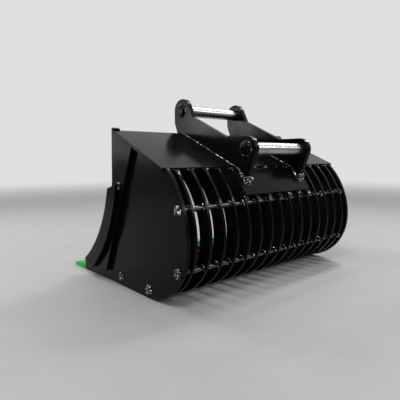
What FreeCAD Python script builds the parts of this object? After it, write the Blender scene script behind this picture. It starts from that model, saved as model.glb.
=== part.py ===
"""Skeleton bucket of an excavator, built plate by plate.

All sizes are in millimetres. X runs across the bucket, the mouth faces -Y,
the ribbed back faces +Y and Z is up. The bucket stands on z = 0 on the lower
edges of its side plates and on the tip of its cutting edge.

The section is drawn with y = 0 near the rear edge of the top plate. At the
end every shape is moved along Y so that the bucket is centred.
"""
import FreeCAD, Part
import math
import os

V = FreeCAD.Vector

# plates
side_thickness = 20.0          # side plate
reinforcement_thickness = 25.0 # plate on the front of the side plate
cutter_thickness = 25.0        # wear plate on the reinforcement
top_thickness = 15.0           # top plate
rib_thickness = 16.0
lip_thickness = 30.0
edge_thickness = 35.0          # cutting edge behind its bevel
edge_tip = 18.0                # cutting edge at the tip
back_plate_thickness = 15.0
ear_thickness = 30.0

# width
rib_count = 15
rib_pitch = 94.4               # leaves 78.4 mm of open gap between two ribs
end_gap = 36.2                 # last rib to side plate
inner_half = (rib_count - 1) * rib_pitch / 2 + rib_thickness / 2 + end_gap
side_outer = inner_half + side_thickness
reinforcement_outer = side_outer + reinforcement_thickness

# section of the shell
heel_radius = 325.0            # outside of the side plate, below
back_radius = 490.0            # outside of the side plate, above
heel_y = -40.0                 # where the heel touches the ground
rise = 12.0                    # how far the floor has risen at the lip
lip_rear_y = -455.0
edge_rear_y = -785.0
tip_y = -940.0
edge_bevel = 62.0              # length of the bevel on the cutting edge
rib_inset = 7.0                # ribs stand this far inside the side plates
rib_depth = 78.0
rib_root = 140.0               # length of a rib along the top plate
rib_bend_angle = 48.0          # where a rib's inner edge leaves its arc for the top plate
toe_length = 150.0             # rib toe on the lip plate
toe_height = 14.0

# top plate
top_angle = 24.0
top_length = 495.0
top_rear_angle = 46.77         # upper rear edge, about the centre of the back radius
top_rear_over = 2.7            # upper rear edge outside the side plate's outline
nose_rise = 8.0                # nose of the side plate above the top plate
nose_over = 20.0               # and in front of it

# front of the side plate and what lies on it, as points (y, z)
front_bend = (-348.0, 600.0)
front_middle = (-455.0, 322.0)
front_low = (-658.0, 112.0)
reinforcement_foot_z = 60.0
reinforcement_top = (-136.0, 781.0)
reinforcement_foot = (-450.0, 60.0)
cutter_over = 6.0              # side cutter in front of the side plate's front arc
cutter_width = 89.0            # from its front arc to its rear one, about the same centre
cutter_top_front_angle = -12.5 # front end of its upper edge, about that centre
cutter_top_rear_angle = -9.2
cutter_foot_z = 60.0
cutter_low_z = 105.0           # its front arc ends this high
cutter_toe = 6.0               # and its foot starts this far behind that

# cross rods
rod_diameter = 30.0
rod_proud = 8.0                # rod end outside the side plate
rod_hole_sides = 8             # flats of the burnt hole in a rib, each touching the rod
rod_inset = 34.0               # rod centre inside the side plate's outline
upper_rod_angle = 21.0         # about the centre of the back radius
lower_rod_angle = -28.6        # about the centre of the heel radius
floor_rod_height = 46.0        # centre of the floor rods above the floor line
heel_rod_y = -32.0
floor_rod_y = -311.0

# hitch
ear_gap = 450.0                # between the ears
pin_distance = 600.0           # between the pin centres
pin_diameter = 70.0
pin_proud = 14.0
pin_chamfer = 6.0
rear_pin_behind = 82.5         # behind the rear edge of the top plate
rear_pin_above = 94.0          # above that edge
pin_line_angle = 24.5          # the front pin lies higher by this angle
front_lobe = 72.0
rear_lobe = 68.0
ear_saddle = 116.0             # from the front pin to the start of the upper edge
ear_toe = 55.0                 # overhang in front of the top plate
ear_brow = 67.0                # upright front edge ends this high above the top plate
ear_foot_drop = 92.0           # foot below the rear edge of the top plate

# back plate over the middle ribs
back_plate_angle = 34.5        # where it touches the ribs
back_plate_up = 76.0
back_plate_down = 88.0
back_plate_half = 3 * rib_pitch + 12.0


def at(centre, radius, degrees):
    """Return the point of a circle in the section."""
    a = math.radians(degrees)
    return (centre[0] + radius * math.cos(a), centre[1] + radius * math.sin(a))


def move(point, direction, length):
    """Return the point that lies some length along a direction."""
    return (point[0] + direction[0] * length, point[1] + direction[1] * length)


def level(centre, radius, z):
    """Return the rear point of a circle at a height."""
    return (centre[0] + math.sqrt(radius * radius - (z - centre[1]) ** 2), z)


def line_circle(point, direction, centre, radius):
    """Return where a line last leaves a circle, in its direction."""
    dy, dz = point[0] - centre[0], point[1] - centre[1]
    b = dy * direction[0] + dz * direction[1]
    c = dy * dy + dz * dz - radius * radius
    return move(point, direction, -b + math.sqrt(b * b - c))


def crossing(p, d, q, e):
    """Return the crossing of two lines given by point and direction."""
    det = d[0] * e[1] - d[1] * e[0]
    t = ((q[0] - p[0]) * e[1] - (q[1] - p[1]) * e[0]) / det
    return move(p, d, t)


def tangent(centre, radius, point, side):
    """Return the touching point of a tangent from a point to a circle."""
    dy, dz = centre[0] - point[0], centre[1] - point[1]
    far = math.hypot(dy, dz)
    a = math.atan2(dz, dy) + side * math.asin(radius / far)
    reach = math.sqrt(far * far - radius * radius)
    return (point[0] + reach * math.cos(a), point[1] + reach * math.sin(a))


def plate(path, x_from, x_to):
    """Cut a plate from a closed path of points and arcs.

    A path entry is a point, or a pair (through, end) for an arc.
    """
    def vec(p):
        return V(x_from, p[0], p[1])

    edges = []
    here = path[0]
    for step in path[1:] + [path[0]]:
        if isinstance(step[0], tuple):
            edges.append(Part.Arc(vec(here), vec(step[0]), vec(step[1])).toShape())
            here = step[1]
        elif math.dist(here, step) > 1e-6:
            edges.append(Part.LineSegment(vec(here), vec(step)).toShape())
            here = step
    face = Part.Face(Part.Wire(edges))
    return face.extrude(V(x_to - x_from, 0, 0))


def bar(point, radius, x_from, x_to):
    """Make a round bar along X."""
    return Part.makeCylinder(radius, x_to - x_from, V(x_from, point[0], point[1]), V(1, 0, 0))


def mirrored(shape):
    """Return the shape on the other side of the bucket."""
    return shape.mirror(V(0, 0, 0), V(1, 0, 0))


# directions, centres and corners of the section
slope = math.radians(top_angle)
down = (math.cos(slope), -math.sin(slope))     # along the top plate, to the rear
lift = (math.sin(slope), math.cos(slope))      # square to the top plate, upwards
heel_centre = (heel_y, heel_radius)
back_centre = (heel_y + heel_radius - back_radius, heel_radius)
top_rear = at(back_centre, back_radius + top_rear_over, top_rear_angle)
top_front = move(top_rear, down, -top_length)
under_rear = move(top_rear, lift, -top_thickness)
under_front = move(top_front, lift, -top_thickness)
nose = [move(move(top_front, lift, nose_rise), down, -nose_over), move(top_front, lift, nose_rise), under_front]


def floor_z(y, above=0.0):
    """Height of the floor line between heel and lip."""
    return above + rise * (heel_y - y) / (heel_y - lip_rear_y)


def blade_z(y, above=0.0):
    """Height of the underside of lip and cutting edge."""
    return above + rise * (y - tip_y) / (lip_rear_y - tip_y)


def rod_points():
    return {
        "rod_upper_back": at(back_centre, back_radius - rod_inset, upper_rod_angle),
        "rod_lower_back": at(heel_centre, heel_radius - rod_inset, lower_rod_angle),
        "rod_heel": (heel_rod_y, floor_z(heel_rod_y, floor_rod_height)),
        "rod_floor": (floor_rod_y, floor_z(floor_rod_y, floor_rod_height)),
    }


def drill(shape, x_from, x_to, sides=0):
    """Take the four rod holes out of a plate, round or with flats."""
    for point in rod_points().values():
        if sides:
            corner = rod_diameter / 2 / math.cos(math.pi / sides)
            turn = 360.0 / sides
            hole = plate([at(point, corner, (i + 0.5) * turn) for i in range(sides)], x_from - 1, x_to + 1)
        else:
            hole = bar(point, rod_diameter / 2, x_from - 1, x_to + 1)
        shape = shape.cut(hole)
    return shape


def side_plate():
    # the upper edge carries the top plate, the outline runs up to its rear edge
    behind = line_circle(under_rear, lift, back_centre, back_radius)
    a_top = math.degrees(math.atan2(behind[1] - back_centre[1], behind[0] - back_centre[0]))
    path = nose + [
        under_rear,
        behind,
        (at(back_centre, back_radius, a_top / 2), at(back_centre, back_radius, 0)),
        (at(heel_centre, heel_radius, -45), at(heel_centre, heel_radius, -90)),
        (lip_rear_y, rise),
        (lip_rear_y, rise + lip_thickness),
        (front_low[0], blade_z(front_low[0], lip_thickness)),
        front_low,
        (front_middle, front_bend),
    ]
    return drill(plate(path, inner_half, side_outer), inner_half, side_outer)


def reinforcement():
    rear = (reinforcement_top[0] - reinforcement_foot[0], reinforcement_top[1] - reinforcement_foot[1])
    path = nose + [
        crossing(under_front, down, reinforcement_foot, rear),
        reinforcement_foot,
        (front_low[0], reinforcement_foot_z),
        front_low,
        (front_middle, front_bend),
    ]
    return plate(path, side_outer, reinforcement_outer)


def cutter():
    front_arc = Part.Arc(V(0, *front_bend), V(0, *front_middle), V(0, *front_low)).toShape().Curve
    centre = (front_arc.Center.y, front_arc.Center.z)
    front = front_arc.Radius - cutter_over
    rear = front + cutter_width
    top_front_end = at(centre, front, cutter_top_front_angle)
    top_rear_end = at(centre, rear, cutter_top_rear_angle)
    low = level(centre, front, cutter_low_z)
    foot = level(centre, rear, cutter_foot_z)
    path = [
        top_front_end,
        top_rear_end,
        (level(centre, rear, (top_rear_end[1] + foot[1]) / 2), foot),
        (low[0] + cutter_toe, cutter_foot_z),
        low,
        (level(centre, front, (top_front_end[1] + low[1]) / 2), top_front_end),
    ]
    return plate(path, reinforcement_outer, reinforcement_outer + cutter_thickness)


def rib():
    """One rib, in the middle of the bucket."""
    outer_back = back_radius - rib_inset
    outer_heel = heel_radius - rib_inset
    inner_back = outer_back - rib_depth
    inner_heel = outer_heel - rib_depth
    a_out = math.degrees(math.asin((under_rear[1] - back_centre[1]) / outer_back))
    top_out = at(back_centre, outer_back, a_out)
    top_in = move(under_rear, down, -rib_root)
    lip_top = rise + lip_thickness
    toe_y = lip_rear_y - toe_length
    path = [
        top_out,
        (at(back_centre, outer_back, a_out / 2), at(back_centre, outer_back, 0)),
        (at(heel_centre, outer_heel, -45), at(heel_centre, outer_heel, -90)),
        (lip_rear_y, floor_z(lip_rear_y, rib_inset)),
        (lip_rear_y, lip_top),
        (toe_y, blade_z(toe_y, lip_thickness)),
        (toe_y, blade_z(toe_y, lip_thickness + toe_height)),
        (lip_rear_y, floor_z(lip_rear_y, rib_inset + rib_depth)),
        at(heel_centre, inner_heel, -90),
        (at(heel_centre, inner_heel, -45), at(heel_centre, inner_heel, 0)),
        (at(back_centre, inner_back, rib_bend_angle / 2), at(back_centre, inner_back, rib_bend_angle)),
        top_in,
        under_rear,
    ]
    half = rib_thickness / 2
    return drill(plate(path, -half, half), -half, half, rod_hole_sides)


def lip_plate():
    path = [
        (lip_rear_y, blade_z(lip_rear_y)),
        (lip_rear_y, blade_z(lip_rear_y, lip_thickness)),
        (edge_rear_y, blade_z(edge_rear_y, lip_thickness)),
        (edge_rear_y, blade_z(edge_rear_y)),
    ]
    return plate(path, -side_outer, side_outer)


def cutting_edge():
    path = [
        (edge_rear_y, blade_z(edge_rear_y)),
        (edge_rear_y, blade_z(edge_rear_y, edge_thickness)),
        (tip_y + edge_bevel, blade_z(tip_y + edge_bevel, edge_thickness)),
        (tip_y, edge_tip),
        (tip_y, 0.0),
    ]
    return plate(path, -side_outer, side_outer)


def back_frame():
    """Middle of the back plate's inner face, its direction upwards and its normal."""
    a = math.radians(back_plate_angle)
    normal = (math.cos(a), math.sin(a))
    up = (-math.sin(a), math.cos(a))
    return at(back_centre, back_radius - rib_inset, back_plate_angle), up, normal


def back_plate():
    middle, up, normal = back_frame()
    low = move(middle, up, -back_plate_down)
    high = move(middle, up, back_plate_up)
    path = [low, move(low, normal, back_plate_thickness),
            move(high, normal, back_plate_thickness), high]
    return plate(path, -back_plate_half, back_plate_half)


def pins():
    """Centres of the front and rear pin, and the direction from one to the other."""
    a = math.radians(pin_line_angle)
    line = (math.cos(a), -math.sin(a))
    rear = (top_rear[0] + rear_pin_behind, top_rear[1] + rear_pin_above)
    return move(rear, line, -pin_distance), rear, line


def ear():
    front, rear, line = pins()
    middle, up, normal = back_frame()
    outer = move(middle, normal, back_plate_thickness)
    high = move(outer, up, back_plate_up)
    foot = crossing(outer, up, (0.0, top_rear[1] - ear_foot_drop), (1.0, 0.0))
    # the upper edge between the lobes lies on the line through the pin centres
    saddle = move(front, line, ear_saddle)
    into_rear = crossing(rear, line, (0.0, rear[1] + rear_lobe), (1.0, 0.0))
    on_front = tangent(front, front_lobe, saddle, -1)
    on_rear = tangent(rear, rear_lobe, foot, -1)
    a1 = math.degrees(math.atan2(on_front[1] - front[1], on_front[0] - front[0]))
    a2 = math.degrees(math.atan2(on_rear[1] - rear[1], on_rear[0] - rear[0]))
    path = [
        top_front,
        top_rear,
        high,
        foot,
        on_rear,
        (at(rear, rear_lobe, (a2 + 90) / 2), at(rear, rear_lobe, 90)),
        into_rear,
        saddle,
        on_front,
        (at(front, front_lobe, (a1 + 180) / 2), at(front, front_lobe, 180)),
        (front[0] - front_lobe, top_front[1] + ear_brow),
        (top_front[0] - ear_toe, top_front[1]),
    ]
    shape = plate(path, ear_gap / 2, ear_gap / 2 + ear_thickness)
    for pin in (front, rear):
        shape = shape.cut(bar(pin, pin_diameter / 2, ear_gap / 2 - 1, ear_gap / 2 + ear_thickness + 1))
    return shape


def hitch_pin(point):
    half = ear_gap / 2 + ear_thickness + pin_proud
    shape = bar(point, pin_diameter / 2, -half, half)
    rims = [e for e in shape.Edges if abs(abs(e.CenterOfMass.x) - half) < 1e-3]
    return shape.makeChamfer(pin_chamfer, rims)


def main():
    parts = {}
    sheet = Part.makeBox(2 * reinforcement_outer, top_length, top_thickness)
    sheet.translate(V(-reinforcement_outer, 0, -top_thickness))
    sheet.rotate(V(0, 0, 0), V(1, 0, 0), -top_angle)
    sheet.translate(V(0, top_front[0], top_front[1]))
    parts["top_plate"] = sheet
    for name, shape in (("side_plate", side_plate()), ("reinforcement", reinforcement()),
                        ("side_cutter", cutter()), ("ear", ear())):
        parts[name + "_left"] = mirrored(shape)
        parts[name + "_right"] = shape
    parts["lip_plate"] = lip_plate()
    parts["cutting_edge"] = cutting_edge()
    parts["back_plate"] = back_plate()
    one = rib()
    for i in range(rib_count):
        shape = one.copy()
        shape.translate(V((i - (rib_count - 1) / 2) * rib_pitch, 0, 0))
        parts["rib_%02d" % (i + 1)] = shape
    for name, point in rod_points().items():
        end = side_outer + rod_proud
        parts[name] = bar(point, rod_diameter / 2, -end, end)
    front, rear, line = pins()
    parts["pin_front"] = hitch_pin(front)
    parts["pin_rear"] = hitch_pin(rear)

    box = FreeCAD.BoundBox()
    for shape in parts.values():
        box.add(shape.BoundBox)
    os.makedirs("parts", exist_ok=True)
    for name, shape in parts.items():
        shape.translate(V(0, -(box.YMin + box.YMax) / 2, 0))
        shape.exportStep("parts/" + name + ".step")
        print(name, shape.isValid(), len(shape.Solids), round(shape.Volume / 1000))
    print("size", round(box.XLength, 1), round(box.YLength, 1), round(box.ZLength, 1), round(box.ZMin, 2))


main()
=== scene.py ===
"""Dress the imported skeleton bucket: ground edges, weld beads, paint, steel, light and camera.

Everything is in metres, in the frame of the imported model: X across the bucket, the mouth
at -Y, the ribbed back at +Y and Z up. Plates keep their packed form and only get their
edges ground round. Welds are chains of ripples laid along the seams of the plates.
"""

import logging
import math
from dataclasses import dataclass
from enum import Enum
from typing import Iterable, Optional, Sequence

import bpy
from mathutils import Matrix, Vector


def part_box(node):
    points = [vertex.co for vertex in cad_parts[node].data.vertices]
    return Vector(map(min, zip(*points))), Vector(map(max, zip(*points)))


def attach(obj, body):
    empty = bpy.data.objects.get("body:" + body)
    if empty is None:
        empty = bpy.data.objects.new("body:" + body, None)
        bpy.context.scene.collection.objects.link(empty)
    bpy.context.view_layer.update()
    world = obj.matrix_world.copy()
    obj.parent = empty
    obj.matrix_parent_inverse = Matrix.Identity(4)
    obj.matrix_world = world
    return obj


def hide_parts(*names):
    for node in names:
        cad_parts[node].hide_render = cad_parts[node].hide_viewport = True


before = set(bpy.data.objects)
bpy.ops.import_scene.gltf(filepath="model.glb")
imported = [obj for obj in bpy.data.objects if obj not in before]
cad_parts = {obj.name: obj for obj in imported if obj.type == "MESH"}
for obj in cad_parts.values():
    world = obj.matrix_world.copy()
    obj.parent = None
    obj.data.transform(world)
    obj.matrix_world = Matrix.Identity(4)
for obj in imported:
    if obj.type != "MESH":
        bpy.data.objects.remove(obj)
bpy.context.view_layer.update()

logging.basicConfig(level=logging.INFO, format="%(levelname)s %(message)s")
log = logging.getLogger("bucket")

Path = Sequence[Vector]
Triple = tuple[float, float, float]
Socket = bpy.types.NodeSocket

ACROSS = Vector((1.0, 0.0, 0.0))
ORIGIN = Vector((0.0, 0.0, 0.0))
TOUCHING = 1e-4
DIGITS = 5
BACKDROP_LEVEL = 0.74


class Slot(Enum):
    """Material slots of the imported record."""

    BLACK = "black_paint"
    GREEN = "green_paint"
    STEEL = "pin_steel"


class Side(Enum):
    """Sides of the bucket, as the sign of X."""

    LEFT = -1
    RIGHT = 1

    def of(self, name: str) -> str:
        """Name of a node or piece on this side."""
        return f"{name}_{self.name.lower()}"


def corners(node: str) -> tuple[Vector, Vector]:
    """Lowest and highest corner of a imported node's box."""
    low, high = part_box(node)
    return Vector(low), Vector(high)


def span(node: str) -> tuple[float, float]:
    """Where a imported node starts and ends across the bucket."""
    low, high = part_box(node)
    return low[0], high[0]


def about(middle: Vector, radius: float, angle: float) -> Vector:
    """Point at an angle about a line that runs across the bucket."""
    return middle + Vector((0.0, math.cos(angle), math.sin(angle))) * radius


def only(obj: bpy.types.Object) -> None:
    """Leave one object selected and active.

    Args:
        obj: The object.
    """
    bpy.ops.object.select_all(action="DESELECT")
    obj.select_set(True)
    bpy.context.view_layer.objects.active = obj


def apply_modifiers(obj: bpy.types.Object) -> None:
    """Apply every modifier of an object, in order.

    Args:
        obj: The object.
    """
    only(obj)
    for name in [modifier.name for modifier in obj.modifiers]:
        bpy.ops.object.modifier_apply(modifier=name)


def join(name: str, objects: Sequence[bpy.types.Object]) -> bpy.types.Object:
    """Join objects into one under a new name.

    Args:
        name: Name of the joined object and its mesh.
        objects: What is joined; the first one stays.

    Returns:
        The joined object, selected and active.
    """
    only(objects[0])
    for obj in objects:
        obj.select_set(True)
    if len(objects) > 1:
        bpy.ops.object.join()
    objects[0].name = name
    objects[0].data.name = name
    return objects[0]


def copied(obj: bpy.types.Object, place: Matrix) -> bpy.types.Object:
    """Copy an object with its own mesh.

    Args:
        obj: What is copied.
        place: Where the copy goes, worked into its mesh.

    Returns:
        The copy.
    """
    other = bpy.data.objects.new(obj.name, obj.data.copy())
    other.data.transform(place)
    bpy.context.scene.collection.objects.link(other)
    return other


def border_at(borders: dict[frozenset, tuple[Vector, Vector]], point: Vector) -> Optional[frozenset]:
    """Key of the first border line that has an end at a point, if there is one."""
    near = (key for key, ends in borders.items() if min((end - point).length for end in ends) < TOUCHING)
    return next(near, None)


def face_outline(node: str, x: float) -> list[Vector]:
    """Read the outline of a packed plate's face that lies square to X.

    Args:
        node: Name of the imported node.
        x: Where the face lies.

    Returns:
        The corners of the face's longest closed outline, in order.
    """
    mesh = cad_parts[node].data
    borders: dict[frozenset, tuple[Vector, Vector]] = {}
    for polygon in mesh.polygons:
        points = [mesh.vertices[i].co for i in polygon.vertices]
        if max(abs(point.x - x) for point in points) > TOUCHING:
            continue
        for a, b in zip(points, points[1:] + points[:1]):
            key = frozenset(tuple(round(v, DIGITS) for v in end) for end in (a, b))
            if borders.pop(key, None) is None:
                borders[key] = (a.copy(), b.copy())
    loops: list[list[Vector]] = []
    while borders:
        loop = list(borders.pop(next(iter(borders))))
        while (key := border_at(borders, loop[-1])) is not None:
            near, far = borders.pop(key)
            loop.append(far if (near - loop[-1]).length < TOUCHING else near)
        loops.append(loop[:-1])
    return max(loops, key=len)


def dress(obj: bpy.types.Object, material: bpy.types.Material) -> None:
    """Give a new piece one material and its body.

    Args:
        obj: The piece.
        material: Its material.
    """
    obj.data.materials.clear()
    obj.data.materials.append(material)
    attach(obj, "root")


@dataclass(frozen=True)
class Section:
    """Driving sizes of the bucket's cross section, as the part's source has them."""

    top_slope: float = math.radians(24.0)
    top_thickness: float = 0.015
    heel_radius: float = 0.325
    back_radius: float = 0.490
    rib_inset: float = 0.007
    rib_root: float = 0.140
    rib_thickness: float = 0.016
    rib_count: int = 15
    lip_thickness: float = 0.030
    back_plate_angle: float = math.radians(34.5)
    back_plate_thickness: float = 0.015
    pin_chamfer: float = 0.006

    @property
    def down(self) -> Vector:
        """Direction along the top plate, to the rear."""
        return Vector((0.0, math.cos(self.top_slope), -math.sin(self.top_slope)))

    @property
    def lift(self) -> Vector:
        """Direction square to the top plate, upwards."""
        return Vector((0.0, math.sin(self.top_slope), math.cos(self.top_slope)))

    @property
    def top_front(self) -> Vector:
        """Upper front edge of the top plate, in the middle."""
        low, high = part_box("top_plate")
        return Vector((0.0, low[1] + self.top_thickness * math.sin(self.top_slope), high[2]))

    @property
    def top_rear(self) -> Vector:
        """Upper rear edge of the top plate, in the middle."""
        low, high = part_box("top_plate")
        return Vector((0.0, high[1], low[2] + self.top_thickness * math.cos(self.top_slope)))

    @property
    def top_under(self) -> Vector:
        """Way from the upper to the lower face of the top plate."""
        return -self.lift * self.top_thickness

    @property
    def back_centre(self) -> Vector:
        """Centre of the large radius of the back."""
        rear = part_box("side_plate_right")[1][1]
        return Vector((0.0, rear - self.back_radius, self.heel_radius))

    @property
    def rib_reach(self) -> float:
        """Radius of the ribs' outer edge at the back."""
        return self.back_radius - self.rib_inset

    @property
    def back_plate_out(self) -> Vector:
        """Direction square to the back plate, outwards."""
        return Vector((0.0, math.cos(self.back_plate_angle), math.sin(self.back_plate_angle)))

    @property
    def back_plate_up(self) -> Vector:
        """Direction along the back plate, upwards."""
        return Vector((0.0, -math.sin(self.back_plate_angle), math.cos(self.back_plate_angle)))

    @property
    def ribs(self) -> list[str]:
        """Names of the ribs."""
        return [f"rib_{i + 1:02d}" for i in range(self.rib_count)]

    @property
    def rib_places(self) -> list[float]:
        """Middle of each rib, across the bucket."""
        return [sum(span(name)) / 2 for name in self.ribs]

    @property
    def rib_faces(self) -> tuple[float, float]:
        """Both faces of a rib, measured from its middle."""
        return -self.rib_thickness / 2, self.rib_thickness / 2


SECTION = Section()


@dataclass(frozen=True)
class Bead:
    """How one weld bead is laid.

    Attributes:
        radius: Half the width of a ripple.
        pitch: Distance from ripple to ripple.
        stretch: Length of a ripple along the seam over its width.
        roughness: How far the finished bead strays from its line.
    """

    radius: float
    pitch: float
    stretch: float = 0.85
    roughness: float = 0.0022


SEAM = Bead(radius=0.0047, pitch=0.0054)
THIN_SEAM = Bead(radius=0.0046, pitch=0.0052, roughness=0.0014)
CROSSING = Bead(radius=0.0064, pitch=0.0085, roughness=0.0050)
ROD_END = Bead(radius=0.0088, pitch=0.0110, stretch=0.80, roughness=0.0060)
TACK = Bead(radius=0.0085, pitch=0.0085, roughness=0.0060)
LUMP = Bead(radius=0.0130, pitch=0.0125, roughness=0.0090)
FOOT = Bead(radius=0.0155, pitch=0.0145, roughness=0.0120)


class Welder:
    """Lays ripples along a seam and finishes joined beads.

    Attributes:
        noise_size: Size of the bumps that bend a finished bead.
        segments: Faces round a ripple.
        rings: Faces along a ripple.
        ring_points: Points of a full ring.
        arc_points: Stretches of a part ring.
        heavy_radius: Beads with a larger radius get the finish of heavy welds.
    """

    noise_size: float = 0.011
    segments: int = 8
    rings: int = 5
    ring_points: int = 24
    arc_points: int = 10
    heavy_radius: float = 0.008

    def __init__(self, thin: bpy.types.Material, heavy: bpy.types.Material) -> None:
        """Set up the noise that bends each bead.

        Args:
            thin: Paint of thin welds.
            heavy: Paint of heavy welds.
        """
        self.thin = thin
        self.heavy = heavy
        self.noise = bpy.data.textures.new("weld noise", "CLOUDS")
        self.noise.noise_scale = self.noise_size

    def ripple(self, bead: Bead) -> bpy.types.Object:
        """Model one ripple with its poles on X, flattened along the seam.

        Args:
            bead: Gives its radius and stretch.

        Returns:
            The ripple, at the origin.
        """
        bpy.ops.object.select_all(action="DESELECT")
        bpy.ops.mesh.primitive_uv_sphere_add(
            segments=self.segments, ring_count=self.rings, radius=bead.radius
        )
        obj = bpy.context.object
        bpy.ops.object.mode_set(mode="EDIT")
        bpy.ops.mesh.select_all(action="SELECT")
        bpy.ops.transform.rotate(value=math.pi / 2, orient_axis="Y", center_override=(0, 0, 0))
        bpy.ops.transform.resize(value=(bead.stretch, 1, 1))
        bpy.ops.object.mode_set(mode="OBJECT")
        return obj

    def chain(self, path: Path, bead: Bead, closed: bool = False) -> bpy.types.Object:
        """Lay one bead along a path.

        Args:
            path: Points of the seam.
            bead: How the bead is laid.
            closed: Whether the seam comes back to its start.

        Returns:
            The bead, its place worked into its mesh.
        """
        obj = self.ripple(bead)
        curve = bpy.data.curves.new("seam", "CURVE")
        curve.dimensions = "3D"
        line = curve.splines.new("POLY")
        line.points.add(len(path) - 1)
        for knot, point in zip(line.points, path):
            knot.co = (*point, 1.0)
        line.use_cyclic_u = closed
        seam = bpy.data.objects.new("seam", curve)
        bpy.context.scene.collection.objects.link(seam)
        ends = list(path) + ([path[0]] if closed else [])
        length = sum((b - a).length for a, b in zip(ends, ends[1:]))
        last = 0 if closed else 1
        array = obj.modifiers.new("ripples", "ARRAY")
        array.fit_type = "FIXED_COUNT"
        array.count = max(1, round(length / bead.pitch) + last)
        array.use_relative_offset = False
        array.use_constant_offset = True
        array.constant_offset_displace = (length / max(1, array.count - last), 0, 0)
        bend = obj.modifiers.new("along the seam", "CURVE")
        bend.object = seam
        bend.deform_axis = "POS_X"
        apply_modifiers(obj)
        bpy.data.objects.remove(seam)
        bpy.data.curves.remove(curve)
        return obj

    def ring(self, middle: Vector, radius: float, bead: Bead) -> bpy.types.Object:
        """Lay a bead round a line that runs across the bucket.

        Args:
            middle: Centre of the ring.
            radius: Radius of its middle line.
            bead: How the bead is laid.

        Returns:
            The ring.
        """
        turn = [2 * math.pi * i / self.ring_points for i in range(self.ring_points)]
        return self.chain([about(middle, radius, angle) for angle in turn], bead, closed=True)

    def arc(
        self, middle: Vector, radius: float, bead: Bead, start: float, sweep: float
    ) -> bpy.types.Object:
        """Lay a short bead part of the way round a line that runs across the bucket.

        Args:
            middle: Centre of the arc.
            radius: Radius of its middle line.
            bead: How the bead is laid.
            start: Angle at which the bead starts, in radians.
            sweep: Angle it covers.

        Returns:
            The bead.
        """
        turn = [start + sweep * i / self.arc_points for i in range(self.arc_points + 1)]
        return self.chain([about(middle, radius, angle) for angle in turn], bead)

    def finish(self, name: str, beads: Sequence[bpy.types.Object], bead: Bead) -> bpy.types.Object:
        """Join beads into one piece, roughen it and dress it.

        Args:
            name: Name of the piece.
            beads: What it is joined from.
            bead: Gives the roughness and, by its radius, the paint.

        Returns:
            The finished piece.
        """
        obj = join(name, beads)
        rough = obj.modifiers.new("uneven hand", "DISPLACE")
        rough.texture = self.noise
        rough.texture_coords = "LOCAL"
        rough.strength = bead.roughness
        rough.mid_level = 0.5
        apply_modifiers(obj)
        bpy.ops.object.shade_smooth()
        dress(obj, self.heavy if bead.radius > self.heavy_radius else self.thin)
        log.info("%s: %d faces", name, len(obj.data.polygons))
        return obj


class NodeSheet:
    """A node tree with shorthands to add, feed and combine its nodes."""

    def __init__(self, tree: bpy.types.NodeTree) -> None:
        """Keep the tree."""
        self.tree = tree

    def node(self, kind: str, **settings: object) -> bpy.types.Node:
        """Add a node.

        Args:
            kind: Type of the node.
            settings: Its properties.

        Returns:
            The node.
        """
        made = self.tree.nodes.new(kind)
        for key, value in settings.items():
            setattr(made, key, value)
        return made

    def feed(self, target: Socket, value: object) -> None:
        """Wire another socket into a socket, or set its value.

        Args:
            target: What is fed.
            value: A socket, a number or a colour.
        """
        if isinstance(value, Socket):
            self.tree.links.new(value, target)
        else:
            target.default_value = value

    def noise(self, vector: Socket, scale: object, detail: float) -> Socket:
        """Add a noise texture.

        Args:
            vector: Where it is read.
            scale: Its scale, a number or a socket.
            detail: Its octaves.

        Returns:
            Its value.
        """
        made = self.node("ShaderNodeTexNoise")
        for word, value in (("Vector", vector), ("Scale", scale), ("Detail", detail)):
            self.feed(made.inputs[word], value)
        return made.outputs["Fac"]

    def remap(
        self, value: Socket, low: object, high: object, to_low: float = 0.0, smooth: bool = False
    ) -> Socket:
        """Map a range of a value onto 0 to 1, clamped.

        Args:
            value: What is mapped.
            low: Where the range starts, a number or a socket.
            high: Where it ends.
            to_low: What its start becomes, if not 0.
            smooth: Whether the ramp eases in and out.

        Returns:
            The mapped value.
        """
        made = self.node("ShaderNodeMapRange", interpolation_type="SMOOTHSTEP" if smooth else "LINEAR")
        for word, given in (("Value", value), ("From Min", low), ("From Max", high), ("To Min", to_low)):
            self.feed(made.inputs[word], given)
        return made.outputs["Result"]

    def maths(self, operation: str, a: object, b: object) -> Socket:
        """Combine two numbers or sockets.

        Args:
            operation: What is done with them.
            a: The first one.
            b: The second one.

        Returns:
            The result.
        """
        made = self.node("ShaderNodeMath", operation=operation)
        for socket, value in zip(made.inputs, (a, b)):
            self.feed(socket, value)
        return made.outputs[0]

    def mix(self, mask: Socket, below: object, above: object, data_type: str = "FLOAT") -> Socket:
        """Blend one value into another one by a mask.

        Args:
            mask: How much of the upper value shows.
            below: The lower value, or a socket.
            above: The upper value.
            data_type: What kind of value it is.

        Returns:
            The blend.
        """
        made = self.node("ShaderNodeMix", data_type=data_type)
        for word, value in (("Factor", mask), ("A", below), ("B", above)):
            self.feed(made.inputs[word], value)
        return made.outputs["Result"]

    def mix_colour(self, mask: Socket, below: object, above: Triple) -> Socket:
        """Lay a colour over another one, or over a socket, by a mask."""
        base = below if isinstance(below, Socket) else (*below, 1.0)
        return self.mix(mask, base, (*above, 1.0), "RGBA")


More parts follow.
